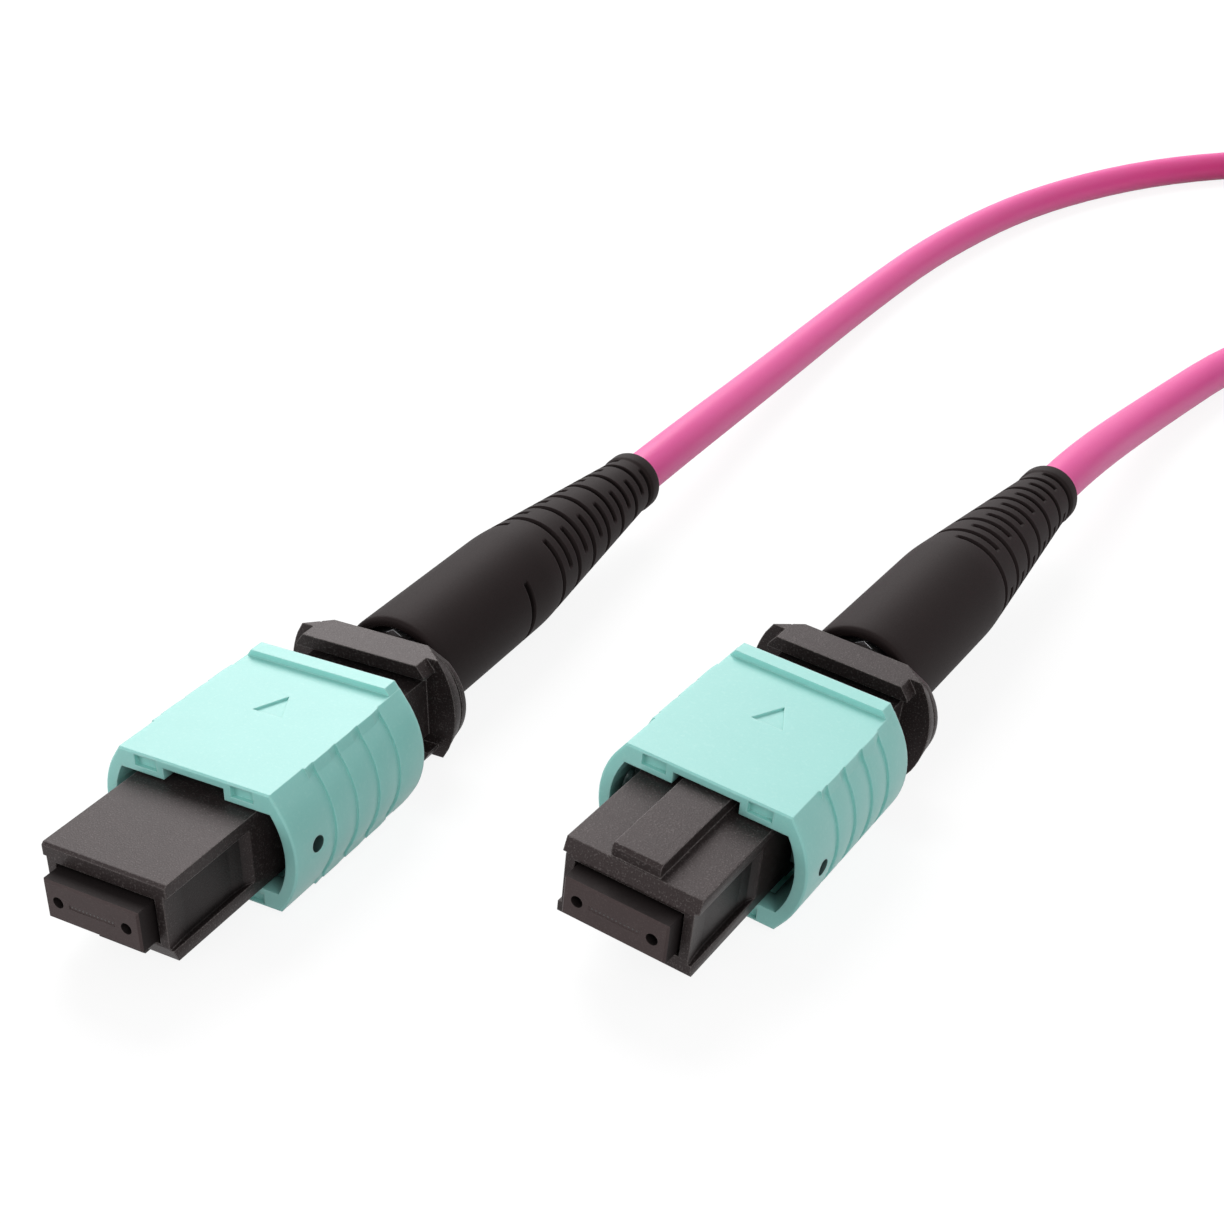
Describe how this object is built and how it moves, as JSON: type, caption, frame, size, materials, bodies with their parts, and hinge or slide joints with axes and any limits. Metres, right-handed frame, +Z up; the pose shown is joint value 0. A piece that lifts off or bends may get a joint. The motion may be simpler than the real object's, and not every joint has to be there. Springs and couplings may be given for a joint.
{
  "type": "fibre trunk cable",
  "caption": "Fibre trunk cord with a push-on multi-fibre plug at each end: aqua coupling sleeves, black housings, slotted strain reliefs, magenta jacket, spare length coiled and strapped.",
  "frame": {"origin": "middle of the box round the two plugs, on the table they lie on, without the cord", "axes": "+Y rearward from the plugs' end faces to the cord, +Z up from the table, +X to the right when seen from the plugs' fronts"},
  "size_m": [0.0881, 0.2012, 0.0149],
  "materials": {
    "aqua_plastic": "fine satin moulding",
    "black_plastic": "satin moulding",
    "ferrule_resin": "polished filled resin",
    "pin_spacer_resin": "natural resin",
    "black_rubber": "soft matt",
    "spring_steel": "bright wire",
    "coated_fibre": "acrylate coating",
    "crimp_metal": "satin",
    "cord_jacket": "satin extruded jacket",
    "strap_fabric": "hook and loop strap"
  },
  "bodies": {
    "cable_set": {"left_inner_housing": "black_plastic", "left_coupling_springs": "spring_steel", "left_ferrule_spring": "spring_steel", "left_rear_body": "black_plastic", "left_crimp_sleeve": "crimp_metal", "left_strain_relief_boot": "black_rubber", "right_inner_housing": "black_plastic", "right_coupling_springs": "spring_steel", "right_ferrule_spring": "spring_steel", "right_rear_body": "black_plastic", "right_crimp_sleeve": "crimp_metal", "right_strain_relief_boot": "black_rubber", "left_cable": "cord_jacket", "right_cable": "cord_jacket", "cable_coil": "cord_jacket", "coil_tie": "strap_fabric"},
    "left_coupling": {"left_coupling_sleeve": "aqua_plastic"},
    "left_ferrule_set": {"left_ferrule": "ferrule_resin", "left_ferrule_boot": "black_rubber", "left_pin_spacer": "pin_spacer_resin", "left_fibre_bundle": "coated_fibre"},
    "right_coupling": {"right_coupling_sleeve": "aqua_plastic"},
    "right_ferrule_set": {"right_ferrule": "ferrule_resin", "right_ferrule_boot": "black_rubber", "right_pin_spacer": "pin_spacer_resin", "right_fibre_bundle": "coated_fibre"}
  },
  "joints": [
    {"name": "left_sleeve_slide", "type": "slide", "parent": "cable_set", "child": "left_coupling", "axis": [-0.0804, 0.9968, 0], "range_m": [0, 0.002], "stiffness_N_per_m": 1000, "deforming": ["left_coupling_springs"]},
    {"name": "left_ferrule_slide", "type": "slide", "parent": "cable_set", "child": "left_ferrule_set", "axis": [-0.0804, 0.9968, 0], "range_m": [0, 0.0006], "stiffness_N_per_m": 3000, "deforming": ["left_ferrule_spring"]},
    {"name": "right_sleeve_slide", "type": "slide", "parent": "cable_set", "child": "right_coupling", "axis": [0, 1, 0], "range_m": [0, 0.002], "stiffness_N_per_m": 1000, "deforming": ["right_coupling_springs"]},
    {"name": "right_ferrule_slide", "type": "slide", "parent": "cable_set", "child": "right_ferrule_set", "axis": [0, 1, 0], "range_m": [0, 0.0006], "stiffness_N_per_m": 3000, "deforming": ["right_ferrule_spring"]}
  ]
}
